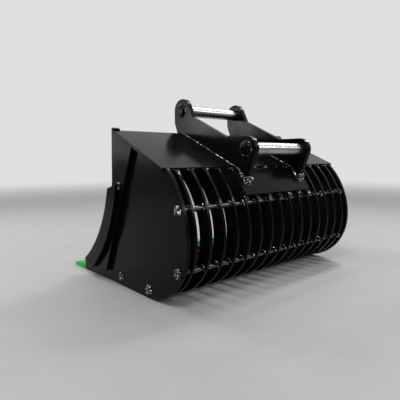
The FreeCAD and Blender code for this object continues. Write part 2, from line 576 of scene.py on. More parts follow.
class ShaderGroup(NodeSheet):
    """A shader node group that is wired step by step."""

    def __init__(self, name: str, inputs: dict[str, float], outputs: Iterable[str]) -> None:
        """Make the group and its sockets.

        Args:
            name: Name of the group.
            inputs: Float inputs and their default values; a vector input is added in front.
            outputs: Names of the float outputs.
        """
        super().__init__(bpy.data.node_groups.new(name, "ShaderNodeTree"))
        face = self.tree.interface
        face.new_socket("Vector", in_out="INPUT", socket_type="NodeSocketVector")
        for word, value in inputs.items():
            socket = face.new_socket(word, in_out="INPUT", socket_type="NodeSocketFloat")
            socket.default_value = value
        for word in outputs:
            face.new_socket(word, in_out="OUTPUT", socket_type="NodeSocketFloat")
        self.given = self.node("NodeGroupInput").outputs
        self.end = self.node("NodeGroupOutput")
        self.vector = self.given["Vector"]

    def put_out(self, **values: Socket) -> bpy.types.NodeTree:
        """Wire the group's outputs.

        Args:
            values: What each output gives, by its name in small letters.

        Returns:
            The finished group.
        """
        for word, value in values.items():
            self.feed(self.end.inputs[word.capitalize()], value)
        return self.tree

    def put_mask(self, *masks: Socket) -> bpy.types.NodeTree:
        """Put out the product of some masks and of the group's amount.

        Args:
            masks: The masks.

        Returns:
            The finished group.
        """
        product = masks[0]
        for mask in (*masks[1:], self.given["Amount"]):
            product = self.maths("MULTIPLY", product, mask)
        return self.put_out(mask=product)


def paint_skin_group() -> bpy.types.NodeTree:
    """Build sprayed enamel: orange peel, slow waves and blotches of gloss.

    Returns:
        The group.
    """
    group = ShaderGroup("Paint skin", {"Peel scale": 320.0, "Wave scale": 9.0}, ("Height", "Blotch"))
    wave_over_peel = 6.0
    peel = group.noise(group.vector, scale=group.given["Peel scale"], detail=1.5)
    wave = group.noise(group.vector, scale=group.given["Wave scale"], detail=2.0)
    height = group.maths("ADD", peel, group.maths("MULTIPLY", wave, wave_over_peel))
    cloud = group.noise(group.vector, scale=5.5, detail=6.0)
    return group.put_out(height=height, blotch=group.remap(cloud, low=0.34, high=0.68))


def settled_dust_group() -> bpy.types.NodeTree:
    """Build thin dust that lies on what faces up and gathers in patches.

    Returns:
        The group.
    """
    group = ShaderGroup("Settled dust", {"Facing up": 0.0, "Amount": 0.5}, ("Mask",))
    facing = group.remap(group.given["Facing up"], low=0.15, high=0.95)
    patch = group.remap(group.noise(group.vector, scale=7.0, detail=7.0), low=0.35, high=0.75)
    grain = group.remap(group.noise(group.vector, scale=700.0, detail=2.0), low=0.30, high=0.70)
    return group.put_mask(patch, grain, facing)


def fine_scratch_group() -> bpy.types.NodeTree:
    """Build short hairline scratches in two directions, in patches.

    Returns:
        The group.
    """
    group = ShaderGroup("Fine scratches", {"Amount": 0.5}, ("Mask",))
    directions = (((0.3, 0.2, 0.5), (3.0, 90.0, 60.0)), ((1.2, 0.7, -0.4), (60.0, 4.0, 80.0)))
    marks = []
    for turn, stretch in directions:
        mapping = group.node("ShaderNodeMapping")
        for word, value in (("Vector", group.vector), ("Rotation", turn), ("Scale", stretch)):
            group.feed(mapping.inputs[word], value)
        hair = group.noise(mapping.outputs[0], scale=1.6, detail=1.0)
        marks.append(group.remap(hair, low=0.70, high=0.76))
    patch = group.remap(group.noise(group.vector, scale=4.0, detail=3.0), low=0.48, high=0.64)
    return group.put_mask(group.maths("MAXIMUM", *marks), patch)


def edge_rub_group() -> bpy.types.NodeTree:
    """Build edges where the paint is thin or rubbed, found from the rounded normal.

    Returns:
        The group.
    """
    group = ShaderGroup("Edge rub", {"Width": 0.004, "Amount": 0.5}, ("Mask",))
    rounded = group.node("ShaderNodeBevel", samples=4)
    group.feed(rounded.inputs["Radius"], group.given["Width"])
    plain = group.node("ShaderNodeNewGeometry")
    dot = group.node("ShaderNodeVectorMath", operation="DOT_PRODUCT")
    group.feed(dot.inputs[0], rounded.outputs["Normal"])
    group.feed(dot.inputs[1], plain.outputs["Normal"])
    edge = group.remap(dot.outputs["Value"], low=0.99, high=0.80)
    patch = group.remap(group.noise(group.vector, scale=38.0, detail=6.0), low=0.42, high=0.66)
    return group.put_mask(edge, patch)


def weld_fleck_group() -> bpy.types.NodeTree:
    """Build bright flecks in clusters, where a weld's crests stand bare of paint.

    Returns:
        The group.
    """
    group = ShaderGroup("Weld flecks", {"Amount": 0.5, "Threshold": 0.53}, ("Mask",))
    soft_edge = 0.07
    low = group.given["Threshold"]
    crest = group.noise(group.vector, scale=115.0, detail=2.0)
    spot = group.remap(crest, low=low, high=group.maths("ADD", low, soft_edge))
    cluster = group.remap(group.noise(group.vector, scale=19.0, detail=2.0), low=0.32, high=0.50)
    return group.put_mask(spot, cluster)


def turned_steel_group() -> bpy.types.NodeTree:
    """Build a ground bar: fine rings round the X axis and faint stains.

    Returns:
        The group.
    """
    group = ShaderGroup("Turned steel", {"Ring scale": 900.0}, ("Height", "Stain"))
    along = group.node("ShaderNodeMapping")
    group.feed(along.inputs["Vector"], group.vector)
    group.feed(along.inputs["Scale"], (1.0, 0.02, 0.02))
    rings = group.noise(along.outputs[0], scale=group.given["Ring scale"], detail=3.0)
    stain = group.noise(group.vector, scale=14.0, detail=5.0)
    return group.put_out(height=rings, stain=group.remap(stain, low=0.46, high=0.72))


@dataclass(frozen=True)
class Effects:
    """The node groups that the finishes share."""

    skin: bpy.types.NodeTree
    dust: bpy.types.NodeTree
    scratches: bpy.types.NodeTree
    rub: bpy.types.NodeTree
    fleck: bpy.types.NodeTree
    turned: bpy.types.NodeTree

    @classmethod
    def built(cls) -> "Effects":
        """Build every group once.

        Returns:
            The groups.
        """
        return cls(
            paint_skin_group(),
            settled_dust_group(),
            fine_scratch_group(),
            edge_rub_group(),
            weld_fleck_group(),
            turned_steel_group(),
        )


class MaterialSheet(NodeSheet):
    """A material's node tree with its Principled shader and Object coordinates."""

    def __init__(self, name: str) -> None:
        """Make the material.

        Args:
            name: Its name.
        """
        self.material = bpy.data.materials.new(name)
        self.material.use_nodes = True
        super().__init__(self.material.node_tree)
        self.shader = self.tree.nodes["Principled BSDF"]
        self.place = self.node("ShaderNodeTexCoord")

    def group(self, tree: bpy.types.NodeTree, **values: float) -> bpy.types.Node:
        """Place a node group on the object's coordinates.

        Args:
            tree: The group.
            values: Its values, by the names of its inputs in small letters.

        Returns:
            The group's node.
        """
        made = self.node("ShaderNodeGroup", node_tree=tree)
        self.feed(made.inputs["Vector"], self.place.outputs["Object"])
        for word, value in values.items():
            self.feed(made.inputs[word.capitalize()], value)
        return made

    def surface(self, word: str, value: object) -> None:
        """Feed one input of the shader."""
        self.feed(self.shader.inputs[word], value)

    def bump(self, height: Socket, distance: float) -> None:
        """Feed a height into the shader's normal.

        Args:
            height: The height.
            distance: How deep its full range is.
        """
        made = self.node("ShaderNodeBump")
        for word, value in (("Strength", 1.0), ("Distance", distance), ("Height", height)):
            self.feed(made.inputs[word], value)
        self.surface("Normal", made.outputs["Normal"])

    def upward(self) -> Socket:
        """How far the surface faces up, from its normal.

        Returns:
            The upward part of the normal.
        """
        parts = self.node("ShaderNodeSeparateXYZ")
        self.feed(parts.inputs[0], self.place.outputs["Normal"])
        return parts.outputs["Z"]


@dataclass(frozen=True)
class EnamelFinish:
    """Sprayed enamel on steel.

    Attributes:
        name: Name of the material.
        colour: Colour of the paint.
        bare: Colour where it is rubbed thin.
        gloss: Roughness of a clean, even area.
        dull: Roughness of its duller blotches.
        rubbed: Roughness of rubbed edges.
        dusty: Roughness under dust.
        peel: Depth of the orange peel, in metres.
        specular: Strength of the mirror part, 0.5 for common plastics.
        fleck: Amount of bright flecks of bare metal.
        fleck_start: Height of the noise from which a fleck is bare.
        dust: Amount of settled dust.
        rub: Amount of rubbed edges.
        scratch: Amount of hairline scratches.
        blotch_gain: Colour of the duller blotches over the paint's colour.
        blotch_veil: Grey that is added to them.
        dust_colour: Colour of the dust.
        fleck_colour: Colour of the bare metal.
    """

    name: str
    colour: Triple
    bare: Triple
    gloss: float = 0.13
    dull: float = 0.22
    rubbed: float = 0.45
    dusty: float = 0.80
    peel: float = 0.00002
    specular: float = 0.08
    fleck: float = 0.0
    fleck_start: float = 0.55
    dust: float = 0.10
    rub: float = 0.35
    scratch: float = 0.30
    blotch_gain: float = 1.35
    blotch_veil: float = 0.0008
    dust_colour: Triple = (0.13, 0.125, 0.12)
    fleck_colour: Triple = (0.80, 0.80, 0.79)

    def build(self, effects: Effects) -> bpy.types.Material:
        """Build the material.

        Args:
            effects: The shared node groups.

        Returns:
            The material.
        """
        sheet = MaterialSheet(self.name)
        skin = sheet.group(effects.skin)
        dust = sheet.group(effects.dust, amount=self.dust)
        scratches = sheet.group(effects.scratches, amount=self.scratch)
        rub = sheet.group(effects.rub, amount=self.rub)
        sheet.feed(dust.inputs["Facing up"], sheet.upward())
        blotch = tuple(channel * self.blotch_gain + self.blotch_veil for channel in self.colour)
        colour = sheet.mix_colour(skin.outputs["Blotch"], self.colour, blotch)
        for layer, tint in ((scratches, self.bare), (rub, self.bare), (dust, self.dust_colour)):
            colour = sheet.mix_colour(layer.outputs["Mask"], colour, tint)
        if self.fleck > 0.0:
            fleck = sheet.group(effects.fleck, amount=self.fleck, threshold=self.fleck_start)
            colour = sheet.mix_colour(fleck.outputs["Mask"], colour, self.fleck_colour)
            sheet.surface("Metallic", fleck.outputs["Mask"])
        sheet.surface("Base Color", colour)
        rough = sheet.mix(skin.outputs["Blotch"], self.gloss, self.dull)
        rough = sheet.mix(rub.outputs["Mask"], rough, self.rubbed)
        sheet.surface("Roughness", sheet.mix(dust.outputs["Mask"], rough, self.dusty))
        sheet.bump(skin.outputs["Height"], self.peel)
        sheet.surface("Specular IOR Level", self.specular)
        return sheet.material


BLACK = EnamelFinish("black enamel", (0.0022, 0.0022, 0.0026), (0.022, 0.022, 0.023))
BLACK_BAR = EnamelFinish(
    "black enamel on bars",
    (0.0035, 0.0035, 0.0038),
    (0.025, 0.025, 0.026),
    gloss=0.12,
    dull=0.20,
    specular=0.9,
)
BLACK_WELD = EnamelFinish(
    "black enamel on welds",
    (0.004, 0.004, 0.0045),
    (0.03, 0.03, 0.031),
    gloss=0.12,
    specular=0.12,
    rub=0.0,
    fleck=1.0,
    fleck_start=0.555,
)
BLACK_HEAVY_WELD = EnamelFinish(
    "black enamel on heavy welds",
    (0.004, 0.004, 0.0045),
    (0.03, 0.03, 0.031),
    gloss=0.14,
    specular=0.20,
    rub=0.0,
    fleck=1.0,
    fleck_start=0.535,
)
GREEN = EnamelFinish("green enamel", (0.0, 0.50, 0.075), (0.20, 0.22, 0.20), scratch=0.6, rub=0.6)


@dataclass(frozen=True)
class SteelFinish:
    """Ground steel bar, lightly oiled.

    Attributes:
        name: Name of the material.
        colour: Colour of the clean metal.
        stained: Colour of the faint stains.
        gloss: Roughness of the clean metal.
        dull: Roughness of the stains.
        scratch: Amount of hairline scratches.
        scratched: Roughness of a scratch.
        ring_depth: Depth of the grinding rings, in metres.
    """

    name: str = "ground pin steel"
    colour: Triple = (0.47, 0.465, 0.448)
    stained: Triple = (0.33, 0.32, 0.30)
    gloss: float = 0.27
    dull: float = 0.36
    scratch: float = 0.6
    scratched: float = 0.5
    ring_depth: float = 0.000004

    def build(self, effects: Effects) -> bpy.types.Material:
        """Build the material.

        Args:
            effects: The shared node groups.

        Returns:
            The material.
        """
        sheet = MaterialSheet(self.name)
        sheet.surface("Metallic", 1.0)
        turned = sheet.group(effects.turned)
        scratches = sheet.group(effects.scratches, amount=self.scratch)
        stain = turned.outputs["Stain"]
        sheet.surface("Base Color", sheet.mix_colour(stain, self.colour, self.stained))
        rough = sheet.mix(stain, self.gloss, self.dull)
        sheet.surface("Roughness", sheet.mix(scratches.outputs["Mask"], rough, self.scratched))
        sheet.bump(turned.outputs["Height"], self.ring_depth)
        return sheet.material


@dataclass(frozen=True)
class FloorFinish:
    """Plain pale floor with a faint cloudiness, that fades into the background far off.

    Attributes:
        name: Name of the material.
        colour: Colour of the floor.
        darker: Colour of its clouds.
        roughness: Its roughness.
        fade_near: Distance from the middle at which it starts to fade.
        fade_far: Distance at which only the background's level is left.
    """

    name: str = "pale floor"
    colour: Triple = (0.38, 0.375, 0.37)
    darker: Triple = (0.36, 0.355, 0.35)
    roughness: float = 0.60
    fade_near: float = 3.5
    fade_far: float = 11.0

    def build(self, effects: Effects) -> bpy.types.Material:
        """Build the material.

        Args:
            effects: The shared node groups.

        Returns:
            The material.
        """
        sheet = MaterialSheet(self.name)
        skin = sheet.group(effects.skin)
        sheet.surface("Base Color", sheet.mix_colour(skin.outputs["Blotch"], self.colour, self.darker))
        sheet.surface("Roughness", self.roughness)
        self.fade(sheet)
        return sheet.material

    def fade(self, sheet: MaterialSheet) -> None:
        """Let the far floor take the background's level for the camera.

        Args:
            sheet: The floor's material.
        """
        reach = sheet.node("ShaderNodeVectorMath", operation="LENGTH")
        sheet.feed(reach.inputs[0], sheet.place.outputs["Object"])
        far = sheet.remap(reach.outputs["Value"], self.fade_near, self.fade_far, smooth=True)
        seen = sheet.maths("MULTIPLY", far, sheet.node("ShaderNodeLightPath").outputs["Is Camera Ray"])
        glow = sheet.node("ShaderNodeEmission")
        sheet.feed(glow.inputs["Strength"], BACKDROP_LEVEL)
        blend = sheet.node("ShaderNodeMixShader")
        for socket, value in zip(blend.inputs, (seen, sheet.shader.outputs[0], glow.outputs[0])):
            sheet.feed(socket, value)
        sheet.feed(sheet.tree.nodes["Material Output"].inputs["Surface"], blend.outputs[0])


@dataclass
class GroundPlate:
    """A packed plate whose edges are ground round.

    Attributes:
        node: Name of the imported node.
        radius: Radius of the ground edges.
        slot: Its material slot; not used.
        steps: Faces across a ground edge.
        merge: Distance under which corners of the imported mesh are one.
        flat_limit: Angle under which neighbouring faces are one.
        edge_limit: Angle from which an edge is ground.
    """

    node: str
    radius: float
    slot: Slot = Slot.BLACK
    steps: int = 2
    merge: float = 1e-5
    flat_limit: float = math.radians(0.3)
    edge_limit: float = math.radians(50)

    def build(self, material: bpy.types.Material) -> bpy.types.Object:
        """Merge a copy of the node's mesh, grind its edges and let it stand for the node.

        Args:
            material: Its finish.

        Returns:
            The piece.
        """
        piece = copied(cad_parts[self.node], Matrix.Identity(4))
        piece.name = piece.data.name = self.node + "_ground"
        only(piece)
        bpy.ops.mesh.customdata_custom_splitnormals_clear()
        bpy.ops.object.mode_set(mode="EDIT")
        bpy.ops.mesh.select_all(action="SELECT")
        bpy.ops.mesh.remove_doubles(threshold=self.merge)
        bpy.ops.mesh.mark_sharp(clear=True)
        bpy.ops.mesh.dissolve_limited(angle_limit=self.flat_limit)
        bpy.ops.object.mode_set(mode="OBJECT")
        grind = piece.modifiers.new("ground edges", "BEVEL")
        grind.width = self.radius
        grind.segments = self.steps
        grind.limit_method = "ANGLE"
        grind.angle_limit = self.edge_limit
        weight = piece.modifiers.new("flat faces lead", "WEIGHTED_NORMAL")
        weight.keep_sharp = True
        apply_modifiers(piece)
        dress(piece, material)
        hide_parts(self.node)
        return piece


@dataclass
class Plates:
    """All flat plates and ribs of the bucket.

    Attributes:
        single: Plates that lie across the middle.
        paired: Plates that each side has.
        blade: The cutting edge.
        edge_radius: Radius of the plates' edges.
        rib_radius: Radius of the ribs' edges.
        blade_radius: Radius of the cutting edge's edges.
    """

    single: tuple[str, ...] = ("top_plate", "lip_plate", "back_plate")
    paired: tuple[str, ...] = ("side_plate", "reinforcement", "side_cutter", "ear")
    blade: str = "cutting_edge"
    edge_radius: float = 0.0016
    rib_radius: float = 0.0014
    blade_radius: float = 0.0022

    def build(self, black: bpy.types.Material, green: bpy.types.Material) -> list[bpy.types.Object]:
        """Grind every plate.

        Args:
            black: Finish of the plates and ribs.
            green: Finish of the cutting edge.

        Returns:
            The pieces.
        """
        nodes = list(self.single) + [side.of(name) for name in self.paired for side in Side]
        pieces = [GroundPlate(node, self.edge_radius).build(black) for node in nodes]
        pieces += [GroundPlate(node, self.rib_radius).build(black) for node in SECTION.ribs]
        pieces.append(GroundPlate(self.blade, self.blade_radius, Slot.GREEN).build(green))
        return pieces


@dataclass
class Rods:
    """The four cross rods with the welds at every rib and side plate.

    Attributes:
        names: The rods.
        edge_radius: Radius of the rods' ground ends.
        overlap: How far the middle line of a weld stands off the rod.
        end_gap: How much farther it stands off at the side plates.
        turn_reach: Largest angle by which a rib's welds are turned, in radians.
        turn_step: How fast that angle changes from weld to weld.
        tacks: Start and sweep of the short welds at a rib, in radians.
        runs: Start and sweep of the heavy welds on the outside of a side plate.
    """

    names: tuple[str, ...] = ("rod_upper_back", "rod_lower_back", "rod_heel", "rod_floor")
    edge_radius: float = 0.002
    overlap: float = 0.001
    end_gap: float = 0.002
    turn_reach: float = 0.35
    turn_step: float = 1.7
    tacks: tuple[tuple[float, float], ...] = ((-0.3, 1.9), (2.9, 1.2))
    runs: tuple[tuple[float, float], ...] = ((1.1, 0.9), (3.9, 0.5), (5.6, 0.3))

    def build(self, welder: Welder, black: bpy.types.Material) -> list[bpy.types.Object]:
        """Grind the rods and weld them in.

        Args:
            welder: Lays the welds.
            black: Finish of the rods.

        Returns:
            The pieces.
        """
        pieces = []
        for name in self.names:
            pieces.append(GroundPlate(name, self.edge_radius).build(black))
            low, high = corners(name)
            middle = (low + high) / 2
            radius = (high.y - low.y) / 2 + self.overlap
            pieces.append(self.crossings(welder, name, middle, radius))
            pieces.append(self.ends(welder, name, middle, radius))
        return pieces

    def crossings(self, welder: Welder, name: str, middle: Vector, radius: float) -> bpy.types.Object:
        """Weld a rod to both faces of each rib.

        Args:
            welder: Lays the welds.
            name: The rod.
            middle: Its middle.
            radius: Radius of the welds' middle line.

        Returns:
            The welds.
        """
        run = join("run", [welder.arc(ORIGIN, radius, CROSSING, *tack) for tack in self.tacks])
        beads = []
        for number, x in enumerate(SECTION.rib_places):
            for sign, face in zip((-1, 1), SECTION.rib_faces):
                angle = self.turn_reach * math.sin(self.turn_step * (number + sign))
                place = Matrix.Translation((x + face, middle.y, middle.z))
                beads.append(copied(run, place @ Matrix.Rotation(angle, 4, "X")))
        bpy.data.objects.remove(run)
        return welder.finish(f"weld_{name}_ribs", beads, CROSSING)

    def ends(self, welder: Welder, name: str, middle: Vector, radius: float) -> bpy.types.Object:
        """Weld a rod's ends to the outside and the inside of the side plates.

        Args:
            welder: Lays the welds.
            name: The rod.
            middle: Its middle.
            radius: Radius of the welds' middle line.

        Returns:
            The welds.
        """
        beads = []
        for side in Side:
            faces = span(side.of("side_plate"))
            for x in faces:
                place = Vector((x, middle.y, middle.z))
                beads.append(welder.ring(place, radius + self.end_gap, ROD_END))
                if x == max(faces, key=abs):
                    beads += [welder.arc(place, radius, LUMP, *run) for run in self.runs]
        return welder.finish(f"weld_{name}_ends", beads, ROD_END)


@dataclass
class RibWelds:
    """Welds of the ribs on the lip plate and under the top plate.

    Attributes:
        toe_length: Length of a rib's toe on the lip plate.
        flare_half: Half the length of the cross bead at the rear edge of the top plate.
        flare_sink: How far it lies above the lower face of the top plate.
        flare_out: How far it stands off the rear edge.
        run_sink: How deep its run-out lies in the rib's outer edge.
        run_out: Where its run-out starts and ends down the rib.
    """

    toe_length: float = 0.150
    flare_half: float = 0.021
    flare_sink: float = 0.003
    flare_out: float = 0.001
    run_sink: float = 0.002
    run_out: tuple[float, float] = (0.0072, 0.024)

    def build(self, welder: Welder) -> list[bpy.types.Object]:
        """Weld one rib and repeat it for all ribs.

        Args:
            welder: Lays the welds.

        Returns:
            The pieces.
        """
        pieces = []
        for name, paths, bead in (
            ("weld_ribs_lip", self.toe_seams(), THIN_SEAM),
            ("weld_ribs_top", self.top_seams(), THIN_SEAM),
            ("weld_ribs_flare", self.flare_seams(), SEAM),
        ):
            one = join(name, [welder.chain(path, bead) for path in paths])
            beads = [copied(one, Matrix.Translation((x, 0.0, 0.0))) for x in SECTION.rib_places]
            bpy.data.objects.remove(one)
            pieces.append(welder.finish(name, beads, bead))
        return pieces

    def toe_seams(self) -> list[Path]:
        """Seams on both sides of a rib's toe, on the lip plate.

        Returns:
            Their paths.
        """
        low, high = corners("lip_plate")
        rear = Vector((0.0, high.y, high.z))
        front = Vector((0.0, low.y, low.z + SECTION.lip_thickness))
        toe = rear.lerp(front, self.toe_length / (rear - front).length)
        return [[rear + ACROSS * x, toe + ACROSS * x] for x in SECTION.rib_faces]

    def top_seams(self) -> list[Path]:
        """Seams on both sides of a rib, under the top plate.

        Returns:
            Their paths.
        """
        rear = SECTION.top_rear + SECTION.top_under
        front = rear - SECTION.down * SECTION.rib_root
        return [[rear + ACROSS * x, front + ACROSS * x] for x in SECTION.rib_faces]

    def flare_seams(self) -> list[Path]:
        """The short cross bead where a rib meets the rear edge of the top plate, with its run-out.

        Returns:
            Their paths.
        """
        sink = SECTION.lift * (SECTION.top_thickness - self.flare_sink)
        corner = SECTION.top_rear - sink + SECTION.down * self.flare_out
        bar = [corner - ACROSS * self.flare_half, corner + ACROSS * self.flare_half]
        centre = SECTION.back_centre
        angle = math.atan2(corner.z - centre.z, corner.y - centre.y)
        radius = SECTION.rib_reach
        down = [about(centre, radius - self.run_sink, angle - way / radius) for way in self.run_out]
        return [bar, down]


@dataclass
class HitchWelds:
    """Welds of the two ears and the two pins.

    Attributes:
        pins: The pins.
        foot_drop: How far an ear's foot lies under the rear edge of the top plate.
        plate_up: How far the back plate's upper edge lies above its middle.
        heavy_share: Where the heavy run starts on the way from there to the foot.
        rows: Number of runs across an ear's foot.
        first_row: Where the first of them lies, in rows above the foot.
        row_pitch: Distance from row to row.
        ring_gap: How far the weld round a pin stands off the pin.
        coat: Thickness of the paint on a pin's end.
        cap_sides: Number of sides of that coat.
        cap_edge: Radius of its edges.
        cap_smooth: Angle under which its faces look round.
    """

    pins: tuple[str, ...] = ("pin_front", "pin_rear")
    foot_drop: float = 0.092
    plate_up: float = 0.076
    heavy_share: float = 0.40
    rows: int = 3
    first_row: float = -0.5
    row_pitch: float = 0.018
    ring_gap: float = 0.0045
    coat: float = 0.0003
    cap_sides: int = 48
    cap_edge: float = 0.0006
    cap_smooth: float = math.radians(35)

    def build(self, welder: Welder, black: bpy.types.Material) -> list[bpy.types.Object]:
        """Weld both ears along the top plate and down the back plate, and the pins in their holes.

        Args:
            welder: Lays the welds.
            black: Finish of the pins' ends.

        Returns:
            The pieces.
        """
        pieces = []
        for side in Side:
            ear = side.of("ear")
            seams, lumps = [], []
            for x in span(ear):
                seams += [welder.chain(path, SEAM) for path in (self.plate_seam(x), self.back_seam(x))]
                lumps.append(welder.chain(self.foot_run(x), FOOT))
            lumps += [welder.chain(path, FOOT) for path in self.foot_rows(ear)]
            pieces.append(welder.finish(f"weld_{ear}", seams, SEAM))
            pieces.append(welder.finish(side.of("weld_ear_foot"), lumps, FOOT))
        for pin in self.pins:
            pieces.append(self.pin_rings(welder, pin))
            pieces.append(self.pin_caps(pin, black))
        return pieces

    def plate_seam(self, x: float) -> Path:
        """Seam of an ear's face along the top plate."""
        return [SECTION.top_front + ACROSS * x, SECTION.top_rear + ACROSS * x]

    def back_points(self) -> tuple[Vector, Vector]:
        """Upper end and foot of an ear on the outer face of the back plate.

        Returns:
            Both points, in the middle of the bucket.
        """
        up = SECTION.back_plate_up
        reach = SECTION.rib_reach + SECTION.back_plate_thickness
        outer = about(SECTION.back_centre, reach, SECTION.back_plate_angle)
        foot_z = SECTION.top_rear.z - self.foot_drop
        return outer + up * self.plate_up, outer + up * ((foot_z - outer.z) / up.z)

    def back_seam(self, x: float) -> Path:
        """Seam of an ear's face down the back plate."""
        high, foot = self.back_points()
        return [SECTION.top_rear + ACROSS * x, high + ACROSS * x, foot + ACROSS * x]

    def foot_run(self, x: float) -> Path:
        """Heavy run at the lower end of an ear's face."""
        high, foot = self.back_points()
        return [high.lerp(foot, self.heavy_share) + ACROSS * x, foot + ACROSS * x]

    def foot_rows(self, ear: str) -> list[Path]:
        """Runs across the foot of an ear and a little way up its rear edge.

        Args:
            ear: Name of the ear.

        Returns:
            Their paths.
        """
        low, high = span(ear)
        outline = face_outline(ear, high)
        foot = min(outline, key=lambda point: point.z)
        place = outline.index(foot)
        beside = (outline[place - 1], outline[(place + 1) % len(outline)])
        step = (max(beside, key=lambda point: point.y) - foot).normalized() * self.row_pitch
        across = ACROSS * (high - low)
        starts = [foot + step * (row + self.first_row) - across for row in range(self.rows)]
        return [[start, start + across] for start in starts]

    def pin_rings(self, welder: Welder, pin: str) -> bpy.types.Object:
        """Weld both ends of a pin to the ears' outer faces.

        Args:
            welder: Lays the welds.
            pin: The pin.

        Returns:
            The welds.
        """
        low, high = corners(pin)
        middle = (low + high) / 2
        radius = (high.z - low.z) / 2 + self.ring_gap
        faces = [max(span(side.of("ear")), key=abs) for side in Side]
        beads = [welder.ring(Vector((x, middle.y, middle.z)), radius, SEAM) for x in faces]
        return welder.finish(f"weld_{pin}", beads, SEAM)

    def pin_caps(self, pin: str, black: bpy.types.Material) -> bpy.types.Object:
        """Coat both ends of a pin with paint, outside the ears.

        Args:
            pin: The pin.
            black: The paint.

        Returns:
            The coat.
        """
        low, high = corners(pin)
        middle = (low + high) / 2
        tip = high.x + self.coat
        caps = []
        for side in Side:
            outer = max(map(abs, span(side.of("ear"))))
            cap = self.cap((high.z - low.z) / 2 + self.coat, tip - outer)
            place = Matrix.Translation((side.value * (outer + tip) / 2, middle.y, middle.z))
            cap.data.transform(place @ Matrix.Rotation(side.value * math.pi / 2, 4, "Y"))
            caps.append(cap)
        obj = join(f"paint_{pin}", caps)
        bpy.ops.object.shade_smooth_by_angle(angle=self.cap_smooth)
        dress(obj, black)
        return obj

    def cap(self, radius: float, depth: float) -> bpy.types.Object:
        """Model a short round bar with a chamfer at its upper end.

        Args:
            radius: Its radius.
            depth: Its length.

        Returns:
            The bar, upright at the origin.
        """
        bpy.ops.object.select_all(action="DESELECT")
        bpy.ops.mesh.primitive_cylinder_add(vertices=self.cap_sides, radius=radius, depth=depth)
        cap = bpy.context.object
        bpy.ops.object.mode_set(mode="EDIT")
        bpy.ops.mesh.select_all(action="DESELECT")
        bpy.ops.object.mode_set(mode="OBJECT")
        for edge in cap.data.edges:
            edge.select = all(cap.data.vertices[i].co.z > 0 for i in edge.vertices)
        bpy.ops.object.mode_set(mode="EDIT")
        bpy.ops.mesh.bevel(offset=SECTION.pin_chamfer, segments=1, affect="EDGES")
        bpy.ops.mesh.select_all(action="SELECT")
        bpy.ops.mesh.bevel(offset=self.cap_edge, segments=2, affect="EDGES")
        bpy.ops.object.mode_set(mode="OBJECT")
        return cap


